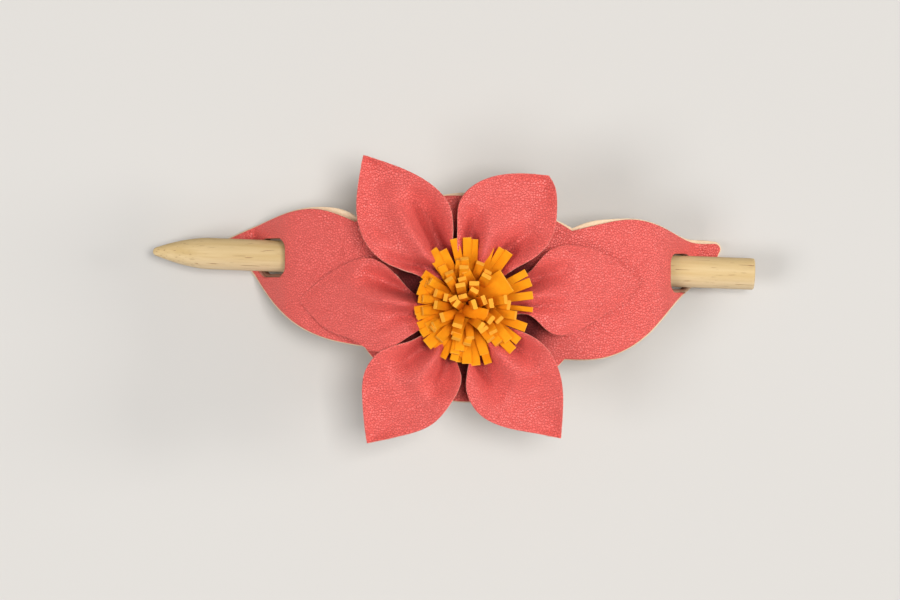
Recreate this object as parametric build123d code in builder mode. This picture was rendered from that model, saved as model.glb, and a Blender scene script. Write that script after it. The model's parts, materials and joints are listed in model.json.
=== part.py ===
"""Leather flower hair barrette with a wooden stick. Millimetres, +Z up, standing on its two feet at Z = 0.

The origin is under the middle of the stick. A two-layer leather base arches over the hair, the stick dives
through a slot near each end of it, and a flower of six petals and a rolled fringe sits on the crest.
"""

from build123d import *
from math import cos, radians, sin
import os

os.makedirs("parts", exist_ok=True)

# Stick: a quarter-inch dowel, a little askew in plan.
stick_diameter = 6.35
stick_length = 121.2
stick_tilt = -2.16
stick_centre_y = 7.2
tip_radius = 0.9
tip_half_angle = 19.0
taper_length = 10.5
end_chamfer = 0.3

# Leather layers of the base.
backing_thickness = 1.2
leather_thickness = 1.0
base_thickness = backing_thickness + leather_thickness
rim_width = 0.4

# Arch of the base, measured on its underside.
arch_centre_x = 4.4
foot_length = 12.0
foot_radius = 3.4
slope_angle = 57.0
slope_length = 10.0
shoulder_radius = 7.0
crest_angle = 20.0
crest_radius = 60.0
crest_flat = 26.2
arch_depth = 60.0

# Slots, punched square to the sloping leather, a little towards the front of the stick.
slot_length = 9.6
slot_width = 7.8
slot_shift_y = -0.4

# Flower.
flower_x = 2.5
flower_y = -1.5
petal_thickness = 1.0
petal_root_start = 2.5
petal_root_end = 7.5
petal_rise_at = 15.0
petal_fall_at = 25.0
petal_reach = 40.0
fringe_foot_radius = 6.5
fringe_neck_radius = 8.0
fringe_radius = 12.6
fringe_neck_height = 3.0
fringe_rim_low = 5.6
fringe_rim_high = 7.4
fringe_height = 9.6

# Arch positions that follow from the sizes above.
slope_cos = cos(radians(slope_angle))
slope_sin = sin(radians(slope_angle))
crest_cos = cos(radians(crest_angle))
crest_sin = sin(radians(crest_angle))
foot_run = foot_radius * slope_sin
foot_rise = foot_radius * (1 - slope_cos)
shoulder_run = shoulder_radius * (slope_sin - crest_sin)
shoulder_rise = shoulder_radius * (crest_cos - slope_cos)
crest_run = crest_radius * crest_sin
crest_rise = crest_radius * (1 - crest_cos)
slope_end_x = crest_flat / 2 + crest_run + shoulder_run
slope_foot_x = slope_end_x + slope_length * slope_cos
foot_end_x = slope_foot_x + foot_run
crest_z = foot_rise + slope_length * slope_sin + shoulder_rise + crest_rise
plateau_z = crest_z + base_thickness

# The slots start where the foot's bend ends, and the stick runs through their middles.
slot_from_centre = slope_foot_x - slot_length / 2 * slope_cos + base_thickness / 2 * slope_sin
stick_z = foot_rise + slot_length / 2 * slope_sin + base_thickness / 2 * slope_cos
stick_x_dir = Vector(cos(radians(stick_tilt)), sin(radians(stick_tilt)), 0)


def stick_y(x):
    """Y of the stick's axis at a given X."""
    return stick_centre_y + x * stick_x_dir.Y / stick_x_dir.X


def draw_arch(height):
    """Draw the arch from the left end to the right end, at a height above its underside."""
    start = (arch_centre_x - foot_end_x - foot_length, height)
    left_foot = Line(start, (arch_centre_x - foot_end_x, height))
    left_bend = JernArc(left_foot @ 1, left_foot % 1, foot_radius - height, slope_angle)
    left_slope = PolarLine(left_bend @ 1, slope_length, slope_angle)
    left_shoulder = JernArc(
        left_slope @ 1, left_slope % 1, shoulder_radius + height, crest_angle - slope_angle
    )
    left_crest = JernArc(left_shoulder @ 1, left_shoulder % 1, crest_radius + height, -crest_angle)
    crest = PolarLine(left_crest @ 1, crest_flat, 0)
    right_crest = JernArc(crest @ 1, crest % 1, crest_radius + height, -crest_angle)
    right_shoulder = JernArc(
        right_crest @ 1, right_crest % 1, shoulder_radius + height, crest_angle - slope_angle
    )
    right_slope = PolarLine(right_shoulder @ 1, slope_length, -slope_angle)
    right_bend = JernArc(right_slope @ 1, right_slope % 1, foot_radius - height, slope_angle)
    PolarLine(right_bend @ 1, foot_length, 0)


def draw_base_outline(rim):
    """Draw the plan outline of the base, two wings and a round middle lobe, grown by a rim all round."""
    valley_y = 15.2 + rim
    left_top = Spline(
        (-19.5, valley_y),
        (-27.5, 17.8 + rim),
        (-37.0, 15.8 + rim),
        (-46.5 - rim, 11.6 + rim),
    )
    left_end = Spline(
        left_top @ 1,
        (-46.4 - rim, 9.4),
        (-40.4 - rim, 4.2 - rim),
        (-34.6 - rim, -2.5 - rim),
        (-27.3, -7.2 - rim),
        (-17.8, -9.4 - rim),
    )
    lobe_bottom = ThreePointArc(left_end @ 1, (1.7, -20.4 - rim), (22.0, -12.0 - rim))
    right_bottom = Spline(
        lobe_bottom @ 1,
        (29.5, -11.8 - rim),
        (38.8 + rim, -7.0 - rim),
        (47.3 + rim, 1.7 - rim),
        (52.0 + rim, 5.6),
        (53.8 + rim, 9.2),
    )
    tip = ThreePointArc(right_bottom @ 1, (54.0 + rim, 10.4), (53.0 + rim, 11.1 + rim))
    right_top = Spline(
        tip @ 1,
        (48.5, 11.3 + rim),
        (43.6, 13.4 + rim),
        (35.6, 15.7 + rim),
        (29.0, 14.7 + rim),
        (23.5, 13.4 + rim),
    )
    ThreePointArc(right_top @ 1, (1.7, 20.4 + rim), left_top @ 0)


def slot_plane(side):
    """Plane of the slot on the left (side -1) or on the right (side 1), square to the sloping leather."""
    x = arch_centre_x + side * slot_from_centre
    return Plane(
        origin=(x, stick_y(x) + slot_shift_y, stick_z),
        x_dir=(slope_cos, 0, -side * slope_sin),
        z_dir=(side * slope_sin, 0, slope_cos),
    )


# Both slots as cutting tools.
with BuildPart() as slots:
    for side in (-1, 1):
        with BuildSketch(slot_plane(side)):
            SlotOverall(slot_length, slot_width)
    extrude(amount=base_thickness, both=True)

# Coral leather face of the base.
with BuildPart() as base_leather:
    with BuildSketch(Plane.XZ):
        with BuildLine():
            draw_arch(backing_thickness)
            draw_arch(base_thickness)
            for side in (-1, 1):
                end_x = arch_centre_x + side * (foot_end_x + foot_length)
                Line((end_x, backing_thickness), (end_x, base_thickness))
        make_face()
    extrude(amount=arch_depth / 2, both=True)
    with BuildSketch(Plane.XY):
        with BuildLine():
            draw_base_outline(0)
        make_face()
    extrude(amount=plateau_z + 1, mode=Mode.INTERSECT)
    add(slots.part, mode=Mode.SUBTRACT)
base_leather.part.label = "base_leather"
export_step(base_leather.part, "parts/base_leather.step")

# Undyed backing under it, a little larger all round.
with BuildPart() as base_backing:
    with BuildSketch(Plane.XZ):
        with BuildLine():
            draw_arch(0)
            draw_arch(backing_thickness)
            for side in (-1, 1):
                end_x = arch_centre_x + side * (foot_end_x + foot_length)
                Line((end_x, 0), (end_x, backing_thickness))
        make_face()
    extrude(amount=arch_depth / 2, both=True)
    with BuildSketch(Plane.XY):
        with BuildLine():
            draw_base_outline(rim_width)
        make_face()
    extrude(amount=plateau_z + 1, mode=Mode.INTERSECT)
    add(slots.part, mode=Mode.SUBTRACT)
base_backing.part.label = "base_backing"
export_step(base_backing.part, "parts/base_backing.step")

# Stick: a dowel with a pencil point at the left and a square end at the right.
stick_plane = Plane(origin=(0, stick_centre_y, stick_z), x_dir=stick_x_dir, z_dir=(0, 0, 1))
with BuildPart() as stick:
    with BuildSketch(stick_plane):
        with BuildLine():
            radius = stick_diameter / 2
            tip_x = -stick_length / 2
            nose = JernArc((tip_x, 0), (0, 1), tip_radius, tip_half_angle - 90)
            taper = Spline(nose @ 1, (tip_x + taper_length, radius), tangents=(nose % 1, (1, 0.1)))
            Polyline(
                taper @ 1,
                (stick_length / 2 - end_chamfer, radius),
                (stick_length / 2, radius - end_chamfer),
                (stick_length / 2, 0),
                (tip_x, 0),
            )
        make_face()
    revolve(axis=Axis(stick_plane.origin, stick_x_dir))
stick.part.label = "stick"
export_step(stick.part, "parts/stick.step")

# Petals: the tip, then each edge from the root outwards, as plan positions. Seen from the flower's middle
# and looking out along the petal, the first edge is on the right and the second on the left.
petals = {
    "petal_right": {
        "tip": (38.2, 2.9),
        "first_edge": ((8.8, -3.3), (14.5, -4.0), (20.5, -7.2), (25.5, -6.4), (32.0, -2.2)),
        "second_edge": ((8.2, 1.7), (14.8, 4.9), (19.4, 9.6), (24.0, 10.8), (31.9, 8.2)),
        "rise": 2.4,
        "fall": 0.8,
        "tip_height": -4.0,
    },
    "petal_upper_right": {
        "tip": (19.2, 24.8),
        "first_edge": ((7.8, 2.2), (11.8, 5.7), (18.7, 10.6), (20.9, 17.0), (20.2, 22.6)),
        "second_edge": ((3.6, 4.9), (1.0, 12.5), (1.0, 18.2), (4.0, 22.7), (10.6, 24.9)),
        "rise": 4.0,
        "fall": 3.6,
        "tip_height": 1.0,
    },
    "petal_upper_left": {
        "tip": (-18.1, 28.8),
        "first_edge": ((1.2, 4.9), (0.0, 12.9), (-0.7, 18.3), (-4.0, 22.5), (-10.3, 26.1)),
        "second_edge": ((-2.9, 2.1), (-7.0, 4.8), (-13.9, 7.4), (-18.6, 13.7), (-19.2, 20.0)),
        "rise": 4.0,
        "fall": 3.6,
        "tip_height": 1.0,
    },
    "petal_left": {
        "tip": (-31.4, -0.7),
        "first_edge": ((-3.5, 1.1), (-9.8, 3.0), (-16.4, 7.4), (-22.2, 6.8), (-28.0, 2.7)),
        "second_edge": ((-3.5, -3.9), (-8.9, -7.0), (-16.0, -9.8), (-23.3, -7.5), (-28.1, -4.2)),
        "rise": 2.4,
        "fall": 0.8,
        "tip_height": -4.0,
    },
    "petal_lower_left": {
        "tip": (-17.4, -29.1),
        "first_edge": ((-3.0, -4.9), (-8.9, -8.9), (-16.3, -11.8), (-18.3, -18.0), (-17.8, -25.6)),
        "second_edge": ((1.0, -7.8), (0.9, -12.6), (1.5, -16.0), (-1.6, -22.6), (-9.0, -27.0)),
        "rise": 4.0,
        "fall": 3.6,
        "tip_height": 1.0,
    },
    "petal_lower_right": {
        "tip": (21.6, -28.1),
        "first_edge": ((4.0, -7.8), (3.1, -14.0), (2.7, -18.9), (6.0, -23.8), (13.8, -26.6)),
        "second_edge": ((8.0, -4.9), (14.7, -7.1), (19.6, -11.8), (22.0, -18.0), (21.9, -24.6)),
        "rise": 4.0,
        "fall": 3.6,
        "tip_height": 1.0,
    },
}

# Each petal follows one profile out from the middle, cut to its outline in plan.
for name, shape in petals.items():
    heading = Vector(shape["tip"][0] - flower_x, shape["tip"][1] - flower_y, 0).normalized()
    profile_plane = Plane(
        origin=(flower_x, flower_y, plateau_z), x_dir=heading, z_dir=(heading.Y, -heading.X, 0)
    )
    with BuildPart() as petal:
        with BuildSketch(profile_plane):
            with BuildLine():
                for height in (0, petal_thickness):
                    root = Line((petal_root_start, height), (petal_root_end, height))
                    Spline(
                        root @ 1,
                        (petal_rise_at, shape["rise"] + height),
                        (petal_fall_at, shape["fall"] + height),
                        (petal_reach, shape["tip_height"] + height),
                        tangents=(root % 1, (1, -0.3)),
                    )
                Line((petal_root_start, 0), (petal_root_start, petal_thickness))
                end_z = shape["tip_height"]
                Line((petal_reach, end_z), (petal_reach, end_z + petal_thickness))
            make_face()
        extrude(amount=arch_depth, both=True)
        with BuildSketch(Plane.XY):
            with BuildLine():
                first_edge = Spline(*shape["first_edge"], shape["tip"])
                second_edge = Spline(*shape["second_edge"], shape["tip"])
                Line(shape["first_edge"][0], shape["second_edge"][0])
            make_face()
        extrude(amount=2 * plateau_z, mode=Mode.INTERSECT)
    petal.part.label = name
    export_step(petal.part, f"parts/{name}.step")

# Rolled fringe in the middle of the flower, as its whole outer shape.
fringe_z = plateau_z + petal_thickness
fringe_plane = Plane(origin=(flower_x, flower_y, fringe_z), x_dir=(1, 0, 0), z_dir=(0, -1, 0))
with BuildPart() as fringe_roll:
    with BuildSketch(fringe_plane):
        with BuildLine():
            floor = Line((0, 0), (fringe_foot_radius, 0))
            neck = Line(floor @ 1, (fringe_neck_radius, fringe_neck_height))
            flare = Line(neck @ 1, (fringe_radius, fringe_rim_low))
            rim = Line(flare @ 1, (fringe_radius, fringe_rim_high))
            dome = Spline(rim @ 1, (0, fringe_height), tangents=((-0.6, 1), (-1, 0)))
            Line(dome @ 1, (0, 0))
        make_face()
    revolve(axis=Axis(fringe_plane.origin, (0, 0, 1)))
fringe_roll.part.label = "fringe_roll"
export_step(fringe_roll.part, "parts/fringe_roll.step")

print(f"plateau {plateau_z:.2f}, stick axis {stick_z:.2f}, crest underside {crest_z:.2f}")
print(f"feet flat beyond {foot_end_x:.2f} from the arch's middle, slots {slot_from_centre:.2f} from it")
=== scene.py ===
"""Leather flower hair barrette with a wooden stick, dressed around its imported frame.

Sizes are in millimetres until a mesh is made, which turns them into metres. The floor, the lamps and the
patterns of the materials are in metres. +Z is up.
"""

import json
from math import cos, pi, radians, sin, sqrt

import bpy
import numpy as np
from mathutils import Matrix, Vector, geometry, noise


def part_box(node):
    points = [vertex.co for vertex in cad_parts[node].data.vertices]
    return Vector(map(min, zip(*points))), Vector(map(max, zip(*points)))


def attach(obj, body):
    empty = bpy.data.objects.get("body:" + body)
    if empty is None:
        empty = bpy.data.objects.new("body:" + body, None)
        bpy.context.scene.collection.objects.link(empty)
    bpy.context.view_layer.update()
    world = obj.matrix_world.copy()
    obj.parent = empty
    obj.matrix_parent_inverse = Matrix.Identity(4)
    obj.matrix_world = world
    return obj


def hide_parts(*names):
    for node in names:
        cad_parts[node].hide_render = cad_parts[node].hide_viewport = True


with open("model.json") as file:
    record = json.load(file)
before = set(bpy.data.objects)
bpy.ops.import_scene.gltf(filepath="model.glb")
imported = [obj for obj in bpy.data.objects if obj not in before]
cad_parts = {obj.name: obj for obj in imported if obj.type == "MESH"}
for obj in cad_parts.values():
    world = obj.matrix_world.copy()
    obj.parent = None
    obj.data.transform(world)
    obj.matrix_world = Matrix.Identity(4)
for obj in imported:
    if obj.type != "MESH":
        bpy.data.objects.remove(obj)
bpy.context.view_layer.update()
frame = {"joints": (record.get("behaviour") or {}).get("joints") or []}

MM = 0.001
BARRETTE = "barrette"
STICK = "stick"

# Arch of the base, measured on its underside from the arch's middle outwards: how far each run goes, and the
# slope in degrees at its end.
ARCH_CENTRE_X = 4.4
CREST_FLAT = 26.2
CREST_RADIUS = 60.0
SHOULDER_RADIUS = 7.0
FOOT_RADIUS = 3.4
SLOPE = 57.0
CREST_SLOPE = 20.0
SLOPE_LENGTH = 10.0
FOOT_REACH = 13.0
ARCH_RUNS = (
    (CREST_FLAT / 2, 0.0),
    (CREST_RADIUS * radians(CREST_SLOPE), CREST_SLOPE),
    (SHOULDER_RADIUS * radians(SLOPE - CREST_SLOPE), SLOPE),
    (SLOPE_LENGTH, SLOPE),
    (FOOT_RADIUS * radians(SLOPE), 0.0),
    (FOOT_REACH, 0.0),
)
BACKING_THICKNESS = 1.2
LEATHER_THICKNESS = 1.0
BASE_THICKNESS = BACKING_THICKNESS + LEATHER_THICKNESS

# Stick. Its box leans to the front by the shift, as the stick is askew and one of its ends is pointed.
STICK_LENGTH = 121.2
STICK_SHIFT_Y = 0.2
TIP_RADIUS = 0.9
END_ROUND = 0.35

# Places that follow from the frame.
PLATEAU_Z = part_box("base_leather")[1].z / MM
FRINGE_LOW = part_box("fringe_roll")[0] / MM
STICK_LOW, STICK_HIGH = (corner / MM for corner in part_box("stick"))
STICK_Z = (STICK_LOW.z + STICK_HIGH.z) / 2
STICK_RADIUS = (STICK_HIGH.z - STICK_LOW.z) / 2
STICK_ALONG = Vector(frame["joints"][0]["axis"]).normalized()
STICK_CENTRE = Vector((0, (STICK_LOW.y + STICK_HIGH.y) / 2 + STICK_SHIFT_Y, STICK_Z))

# Slots in the base, each at the foot of a slope: width, shift off the stick's axis, radius of the upper
# corners. The left slot reaches further up the slope.
SLOT_LENGTH = 9.6
SLOT_STEP = 0.45
BACKING_SLOT = (7.0, -0.15, 3.4)
LEATHER_SLOT = (7.8, -0.4, 2.2)
SLOT_UPPER_REACH = {-1: 1.4, 1: 0.0}

# Flower. The petals' points are drawn on a pattern that is a little larger than they are.
FLOWER = np.array([2.5, -1.5])
PETAL_THICKNESS = 1.0
PETAL_STEP = 0.45
LEAST_GAP = 0.1
ROOT_BULGE = 0.6
CRUMPLE = 0.16
FINE_CRUMPLE = 0.06
# How dark the painted shade in the petals' folds is.
FOLD_DARKNESS = 0.95
PATTERN_MIDDLE = np.array([-0.7, -0.3])
PATTERN_SCALE = 0.979

rng = np.random.default_rng(7)


# -------------------- curves and sheets


def smooth_through(points, step):
    """Sample a smooth curve through the points, about one step apart, from the first to the last."""
    points = np.asarray(points, float)
    chords = np.linalg.norm(np.diff(points, axis=0), axis=1)
    knots = np.concatenate([[0], np.cumsum(chords)])
    count = len(points)
    system = np.eye(count)
    right = np.zeros_like(points)
    for i in range(1, count - 1):
        system[i, i - 1 : i + 2] = chords[i - 1], 2 * (chords[i - 1] + chords[i]), chords[i]
        ahead = (points[i + 1] - points[i]) / chords[i]
        behind = (points[i] - points[i - 1]) / chords[i - 1]
        right[i] = 6 * (ahead - behind)
    bend = np.linalg.solve(system, right)
    at = np.linspace(0, knots[-1], max(2, round(knots[-1] / step) + 1))
    span = np.clip(np.searchsorted(knots, at, side="right") - 1, 0, count - 2)
    length = chords[span][:, None]
    after = (at - knots[span])[:, None]
    before = length - after
    return (
        points[span] * before / length
        + points[span + 1] * after / length
        + bend[span] * (before**3 / length - before * length) / 6
        + bend[span + 1] * (after**3 / length - after * length) / 6
    )


def arc_through(first, middle, last, step):
    """Sample the circular arc through three points, about one step apart."""
    first, middle, last = (np.asarray(p, float) for p in (first, middle, last))
    rows = np.array([middle - first, last - first])
    centre = np.linalg.solve(rows, (rows * (rows / 2 + first)).sum(axis=1))
    radius = np.linalg.norm(first - centre)
    start, through, end = (np.arctan2(*(p - centre)[::-1]) for p in (first, middle, last))
    through = start + (through - start) % (2 * pi)
    end = start + (end - start) % (2 * pi)
    if through > end:
        end -= 2 * pi
    turns = np.linspace(start, end, max(3, round(abs(end - start) * radius / step) + 1))
    return centre + radius * np.column_stack([np.cos(turns), np.sin(turns)])


def join_lines(*lines):
    """Join sampled lines end to end into one closed loop, each joint kept once."""
    return np.vstack([line[:-1] for line in lines])


def is_inside(points, loop):
    """Whether each point lies inside a closed loop."""
    inside = np.zeros(len(points), bool)
    for (ax, ay), (bx, by) in zip(loop, np.roll(loop, -1, axis=0)):
        crosses = (ay > points[:, 1]) != (by > points[:, 1])
        if ay != by:
            inside ^= crosses & (points[:, 0] < (bx - ax) * (points[:, 1] - ay) / (by - ay) + ax)
    return inside


def line_distance(points, line):
    """Distance of each point from an open line, and how far along the line its nearest place is, 0 to 1."""
    line = np.asarray(line, float)
    lengths = np.linalg.norm(np.diff(line, axis=0), axis=1)
    starts = np.concatenate([[0], np.cumsum(lengths)])
    nearest = np.full(len(points), np.inf)
    along = np.zeros(len(points))
    for a, b, length, start in zip(line, line[1:], lengths, starts):
        share = np.clip((points - a) @ (b - a) / length**2, 0, 1)
        distance = np.linalg.norm(points - (a + share[:, None] * (b - a)), axis=1)
        closer = distance < nearest
        nearest = np.where(closer, distance, nearest)
        along = np.where(closer, (start + share * length) / starts[-1], along)
    return nearest, along


def fill_outline(outline, holes, spacing):
    """Fill an outline, less its holes, with even triangles: points, triangles that turn left."""
    loops = [outline, *holes]
    low, high = outline.min(axis=0), outline.max(axis=0)
    rows = np.arange(low[1], high[1], spacing * sqrt(3) / 2)
    columns = np.arange(low[0], high[0], spacing)
    grid = np.array([(x + row % 2 * spacing / 2, y) for row, y in enumerate(rows) for x in columns])
    for number, loop in enumerate(loops):
        grid = grid[is_inside(grid, loop) == (number == 0)]
        clear, _ = line_distance(grid, np.vstack([loop, loop[:1]]))
        grid = grid[clear > spacing * 0.55]
    points = np.vstack([*loops, grid])
    edges = []
    for loop, start in zip(loops, np.cumsum([0] + [len(loop) for loop in loops])):
        edges += [(start + i, start + (i + 1) % len(loop)) for i in range(len(loop))]
    places, _, faces, *_ = geometry.delaunay_2d_cdt(
        [Vector(p) for p in points], [(int(a), int(b)) for a, b in edges], [], 0, 1e-6
    )
    places = np.array([tuple(p) for p in places])
    faces = np.array(faces)
    middles = places[faces].mean(axis=1)
    keep = is_inside(middles, outline)
    for hole in holes:
        keep &= ~is_inside(middles, hole)
    faces = faces[keep]
    a, b, c = (places[faces[:, corner]] for corner in range(3))
    turn = (b - a)[:, 0] * (c - a)[:, 1] - (b - a)[:, 1] * (c - a)[:, 0]
    faces = faces[np.abs(turn) > 1e-9]
    turn = turn[np.abs(turn) > 1e-9]
    faces[turn < 0] = faces[turn < 0][:, ::-1]
    used, faces = np.unique(faces, return_inverse=True)
    return places[used], faces.reshape(-1, 3)


def edge_loops(faces):
    """The closed loops of vertices along the open edges of a sheet, each with the sheet on its left."""
    edges = {(int(face[i]), int(face[(i + 1) % 3])) for face in faces for i in range(3)}
    following = {a: b for a, b in edges if (b, a) not in edges}
    loops = []
    while following:
        loop = [next(iter(sorted(following)))]
        while loop[-1] in following:
            loop.append(following.pop(loop[-1]))
        loops.append(np.array(loop[:-1]))
    return loops


def sheet_normals(points, faces):
    """Unit normals at the points of a sheet of triangles."""
    corners = points[faces]
    flat = np.cross(corners[:, 1] - corners[:, 0], corners[:, 2] - corners[:, 0])
    normals = np.zeros_like(points)
    for corner in range(3):
        np.add.at(normals, faces[:, corner], flat)
    return normals / np.linalg.norm(normals, axis=1)[:, None]


def mesh_piece(name, points, faces, material):
    """A smooth-shaded mesh object from points in millimetres."""
    mesh = bpy.data.meshes.new(name)
    mesh.from_pydata([tuple(p * MM) for p in points], [], [[int(v) for v in face] for face in faces])
    mesh.materials.append(material)
    mesh.shade_smooth()
    piece = bpy.data.objects.new(name, mesh)
    bpy.context.scene.collection.objects.link(piece)
    return piece


def add_value(piece, name, values):
    """Keep one number for each vertex of a piece, for its material to read."""
    values = np.asarray(values, np.float32)
    piece.data.attributes.new(name, "FLOAT", "POINT").data.foreach_set("value", values)


# How a knife cuts leather: steps from the grain side down to the flesh side, each as how far it stands out,
# how far down it is, where 1 is the full thickness, and how raw it is.
CUT_EDGE = (
    (-0.16, 0.0, 0.0),
    (-0.06, 0.04, 0.0),
    (-0.01, 0.12, 0.6),
    (0.0, 0.3, 1.0),
    (-0.16, 0.85, 1.0),
    (-0.26, 1.0, 1.0),
)


def leather_piece(name, points, faces, thickness, material, shade):
    """A sheet of leather, thickness deep below its grain side, with a slightly rounded cut edge.

    Shade is how much painted shade darkens the leather at each point, 0 to 1, deep in a fold, under the flower
    and round the slots.
    """
    count = len(points)
    normals = sheet_normals(points, faces)
    thickness = np.broadcast_to(thickness, count)[:, None]
    low = points - thickness * normals
    rows = [points.copy(), low]
    made = [faces, faces[:, ::-1] + count]
    cut = [np.zeros(count), np.zeros(count)]
    flesh = [np.zeros(count), np.ones(count)]
    shades = [shade, np.zeros(count)]
    total = 2 * count
    for loop in edge_loops(faces):
        ahead = points[np.roll(loop, -1)] - points[np.roll(loop, 1)]
        out = np.cross(ahead, normals[loop])
        out /= np.linalg.norm(out, axis=1)[:, None]
        down = thickness[loop] * normals[loop]
        rings = [points[loop] + step * out - depth * down for step, depth, _ in CUT_EDGE]
        rows[0][loop] = rings[0]
        rows[1][loop] = rings[-1]
        numbers = [loop]
        for ring, (_, _, raw) in zip(rings[1:-1], CUT_EDGE[1:-1]):
            rows.append(ring)
            cut.append(np.full(len(loop), raw))
            flesh.append(np.zeros(len(loop)))
            shades.append(shade[loop])
            numbers.append(total + np.arange(len(loop)))
            total += len(loop)
        numbers.append(loop + count)
        for above, below in zip(numbers, numbers[1:]):
            made.append(np.column_stack([above, below, np.roll(below, -1), np.roll(above, -1)]))
    piece = mesh_piece(name, np.vstack(rows), [face for part in made for face in part], material)
    add_value(piece, "cut_edge", np.concatenate(cut))
    add_value(piece, "flesh_side", np.concatenate(flesh))
    add_value(piece, "shade", np.concatenate(shades))
    return piece


# -------------------- node writing


class Socket:
    """An output of a node. Arithmetic on it adds Math nodes to its tree."""

    def __init__(self, graph, socket):
        self.graph = graph
        self.socket = socket

    def math(self, operation, *values):
        inputs = dict(enumerate((self, *values)))
        return self.graph.node("ShaderNodeMath", {"operation": operation}, inputs)["Value"]

    def __add__(self, other):
        return self.math("ADD", other)

    __radd__ = __add__

    def __mul__(self, other):
        return self.math("MULTIPLY", other)

    __rmul__ = __mul__

    def __sub__(self, other):
        return self.math("SUBTRACT", other)

    def __rsub__(self, other):
        return (self * -1) + other

    def __truediv__(self, other):
        return self.math("DIVIDE", other)

    def clamp(self):
        return self.graph.node("ShaderNodeClamp", {}, {0: self})["Result"]


class Node:
    """A node whose outputs are read by name or number."""

    def __init__(self, graph, node):
        self.graph = graph
        self.node = node

    def __getitem__(self, name):
        return Socket(self.graph, self.node.outputs[name])


class Graph:
    """A node tree that is being written, for a material or for geometry."""

    def __init__(self, tree):
        self.tree = tree

    def node(self, kind, settings=None, inputs=None):
        """Add a node: its type, its own settings, and the values or links of its sockets."""
        made = self.tree.nodes.new(kind)
        for name, value in (settings or {}).items():
            setattr(made, name, value)
        for name, value in (inputs or {}).items():
            if isinstance(value, Socket):
                self.tree.links.new(value.socket, made.inputs[name])
            else:
                made.inputs[name].default_value = value
        return Node(self, made)

    def noise(self, vector, scale, detail=3.0, roughness=0.55):
        settings = {"noise_dimensions": "3D"}
        inputs = {"Vector": vector, "Scale": scale, "Detail": detail, "Roughness": roughness}
        return self.node("ShaderNodeTexNoise", settings, inputs)["Fac"]

    def mix(self, factor, first, second):
        """Mix two colours."""
        return self.node("ShaderNodeMix", {"data_type": "RGBA"}, {0: factor, 6: first, 7: second})[2]

    def attribute(self, name):
        return self.node("ShaderNodeAttribute", {"attribute_name": name})["Fac"]

    def stretch(self, vector, scale, turn):
        inputs = {"Vector": vector, "Rotation": turn, "Scale": scale}
        return self.node("ShaderNodeMapping", {"vector_type": "TEXTURE"}, inputs)["Vector"]

    def spread(self, value, low, high, new_low=0.0, new_high=1.0):
        inputs = {"Value": value, 1: low, 2: high, 3: new_low, 4: new_high}
        return self.node("ShaderNodeMapRange", {"interpolation_type": "SMOOTHSTEP"}, inputs)["Result"]

    def bump(self, height, distance):
        inputs = {"Height": height, "Distance": distance, "Strength": 1.0}
        return self.node("ShaderNodeBump", {}, inputs)["Normal"]


def colour(red, green, blue):
    """A display colour of 0 to 255 as the linear colour that a shader takes."""
    parts = [part / 255 for part in (red, green, blue)]
    return tuple(p / 12.92 if p <= 0.04045 else ((p + 0.055) / 1.055) ** 2.4 for p in parts) + (1.0,)


def finish_named(name, constants):
    """A new material: its graph, and a function that links what varies to its shader."""
    material = bpy.data.materials.new(name)
    material.use_nodes = True
    material.node_tree.nodes.clear()
    graph = Graph(material.node_tree)

    def shade(**varying):
        inputs = {key.replace("_", " "): value for key, value in varying.items()}
        shader = graph.node("ShaderNodeBsdfPrincipled", {}, {**constants, **inputs})
        graph.node("ShaderNodeOutputMaterial", {}, {"Surface": shader["BSDF"]})
        return material

    return graph, shade


# -------------------- materials

# Pairs are the two ends that a colour wanders between.
CORAL_DYE = (colour(236, 96, 88), colour(242, 106, 98))
CORAL_BLOTCH = colour(228, 86, 80)
CORAL_CREASE = colour(172, 44, 46)
# Painted shade for the coral leather deep in folds and under the flower.
CORAL_PAINTED_SHADE = colour(78, 10, 14)
CORAL_RAW_EDGE = (colour(228, 146, 128), colour(242, 184, 164))
CORAL_FLESH_SIDE = (colour(206, 122, 106), colour(226, 156, 138))
TAN = (colour(216, 184, 146), colour(236, 212, 180))
TAN_FIBRE = colour(244, 228, 202)
TAN_CUT = colour(232, 204, 166)
# Painted shade for the backing round the slots and under the flower.
TAN_PAINTED_SHADE = colour(104, 52, 34)
ORANGE_DYE = (colour(230, 134, 12), colour(240, 149, 20))
ORANGE_PALER = colour(242, 158, 28)
ORANGE_NAP = colour(248, 170, 48)
# Painted shade at the fingers' roots, deep in the roll.
ORANGE_ROOT_SHADE = colour(196, 106, 10)
ORANGE_TIP = colour(244, 180, 70)
WOOD_BAND = (colour(200, 170, 114), colour(212, 185, 135))
# Painted light on the stick's front side.
WOOD_PAINTED_LIGHT = colour(228, 204, 168)
WOOD_LINE = colour(190, 158, 106)
WOOD_PORE = colour(150, 104, 64)
WOOD_DUST = colour(232, 212, 176)
FLOOR_TONE = (colour(201, 198.5, 195), colour(204, 201.5, 198))

# How many pebbles, fibres and blotches of a pattern go into a metre, and how high its relief is, in metres.
PEBBLE_SCALE = 2200.0
PEBBLE_WARP_SCALE = 700.0
PEBBLE_WARP = 0.0005
PEBBLE_RELIEF = 0.00017
FIBRE_SCALE = 2600.0
FIBRE_RELIEF = 0.0001
NAP_SCALE = 4200.0
NAP_RELIEF = 0.00012
WOOD_RELIEF = 0.00006

# The wood's grain: the size in metres of one cell of its bands, its lines and its pores, along the stick and
# across it.
BAND_CELL = (0.045, 0.0022, 0.0022)
LINE_CELL = (0.012, 0.0006, 0.0006)
PORE_CELL = (0.0036, 0.00022, 0.00022)


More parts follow.
